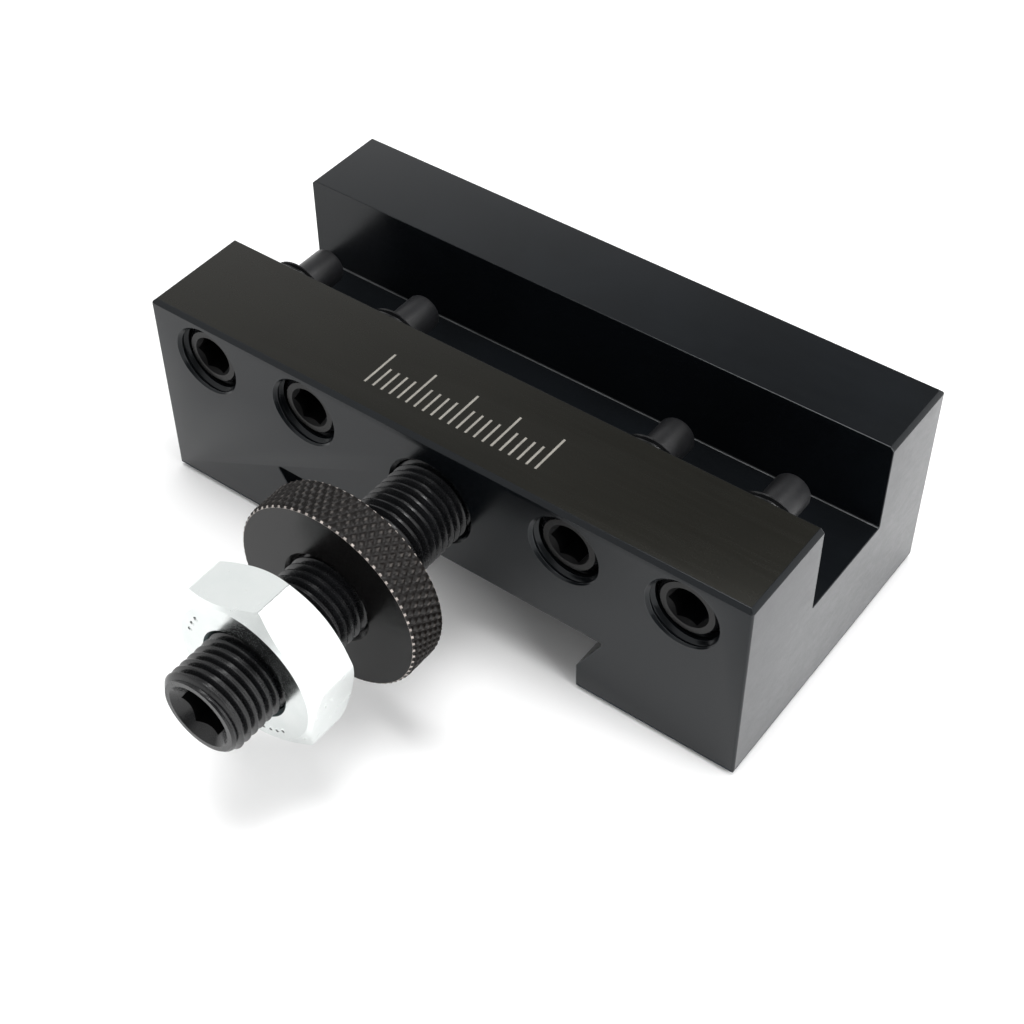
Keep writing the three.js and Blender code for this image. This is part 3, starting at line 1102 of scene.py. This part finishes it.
# Each glow in the sky: the setting of its strength, its direction, and the two cosines that it fades between.
GLOWS = [
    ("sky_left", (-1.0, 0.35, 0.25), 0.55, 0.98),
    ("sky_right", (0.78, 0.5, 0.32), 0.45, 0.95),
    ("sky_front", (-0.42, -0.72, 0.55), 0.7, 0.97),
]


def area_light(name, power, place, aim, width):
    light = bpy.data.lights.new(name, "AREA")
    light.shape = "RECTANGLE"
    light.size = light.size_y = width
    light.energy = power
    lamp = bpy.data.objects.new(name, light)
    bpy.context.scene.collection.objects.link(lamp)
    lamp.location = place
    lamp.rotation_mode = "QUATERNION"
    lamp.rotation_quaternion = (Vector(aim) - Vector(place)).to_track_quat("-Z", "Y")


def studio_world(settings):
    """A dim studio with a brighter glow on the left, on the right and in front."""
    world = bpy.data.worlds.new("Studio")
    world.use_nodes = True
    tree = world.node_tree
    total = settings.sky_base
    for setting, direction, low, high in GLOWS:
        sky = add_node(tree, "ShaderNodeTexCoord").outputs["Generated"]
        match = vector_math(tree, "DOT_PRODUCT", sky, Vector(direction).normalized(), output="Value")
        glow = ramp(tree, match, low, high, 0.0, getattr(settings, setting), interpolation_type="SMOOTHSTEP")
        total = combined(tree, "ADD", total, glow)
    tree.links.new(total, tree.nodes["Background"].inputs["Strength"])
    tree.nodes["Background"].inputs["Color"].default_value = (1.0, 1.0, 1.0, 1.0)
    bpy.context.scene.world = world


class HOLDER_OT_stage(bpy.types.Operator):
    """Set out the floor, the studio lights and the camera"""

    bl_idname = "holder.stage"
    bl_label = "Stage"

    def execute(self, context):
        scene = context.scene
        settings = scene.holder_stage
        bm = bmesh.new()
        bmesh.ops.create_grid(bm, x_segments=1, y_segments=1, size=settings.floor_size)
        floor = add_object("floor", bm)
        floor.data.materials.append(floor_material())
        studio_world(settings)
        for name, (power, *place) in LIGHTS.items():
            area_light(name, getattr(settings, power), *place)
        turn, rise = settings.azimuth, settings.elevation
        back = Vector((math.sin(turn) * math.cos(rise), -math.cos(turn) * math.cos(rise), math.sin(rise)))
        camera = bpy.data.objects.new("camera", bpy.data.cameras.new("camera"))
        scene.collection.objects.link(camera)
        camera.data.lens = settings.lens
        camera.data.clip_start = 0.01
        camera.location = LOOK_AT + back * settings.distance
        level = back.to_track_quat("Z", "Y").to_matrix()
        camera.rotation_euler = (level @ Matrix.Rotation(settings.roll, 3, "Z")).to_euler()
        scene.camera = camera
        scene.view_settings.view_transform = "Standard"
        return {"FINISHED"}


class HOLDER_PT_panel(bpy.types.Panel):
    """The pieces and sizes of the tool holder"""

    bl_label = "Tool Holder"
    bl_idname = "HOLDER_PT_panel"
    bl_space_type = "VIEW_3D"
    bl_region_type = "UI"
    bl_category = "Tool Holder"

    def draw(self, context):
        for operator in OPERATORS:
            self.layout.operator(operator.bl_idname)
        for name, group in GROUPS.items():
            box = self.layout.box()
            for field in group.__annotations__:
                box.prop(getattr(context.scene, name), field)


OPERATORS = [HOLDER_OT_block, HOLDER_OT_set_screws, HOLDER_OT_stud, HOLDER_OT_height_nut, HOLDER_OT_lock_nut,
             HOLDER_OT_stage]


def register():
    for group in GROUPS.values():
        bpy.utils.register_class(group)
    for name, group in GROUPS.items():
        setattr(bpy.types.Scene, name, PointerProperty(type=group))
    for cls in (*OPERATORS, HOLDER_PT_panel):
        bpy.utils.register_class(cls)


def unregister():
    for cls in (HOLDER_PT_panel, *reversed(OPERATORS)):
        bpy.utils.unregister_class(cls)
    for name in GROUPS:
        delattr(bpy.types.Scene, name)
    for group in reversed(GROUPS.values()):
        bpy.utils.unregister_class(group)


def main():
    register()
    bpy.ops.holder.block()
    bpy.ops.holder.set_screws()
    bpy.ops.holder.stud()
    bpy.ops.holder.height_nut()
    bpy.ops.holder.lock_nut()
    bpy.ops.holder.stage()
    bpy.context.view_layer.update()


if __name__ == "__main__":
    main()
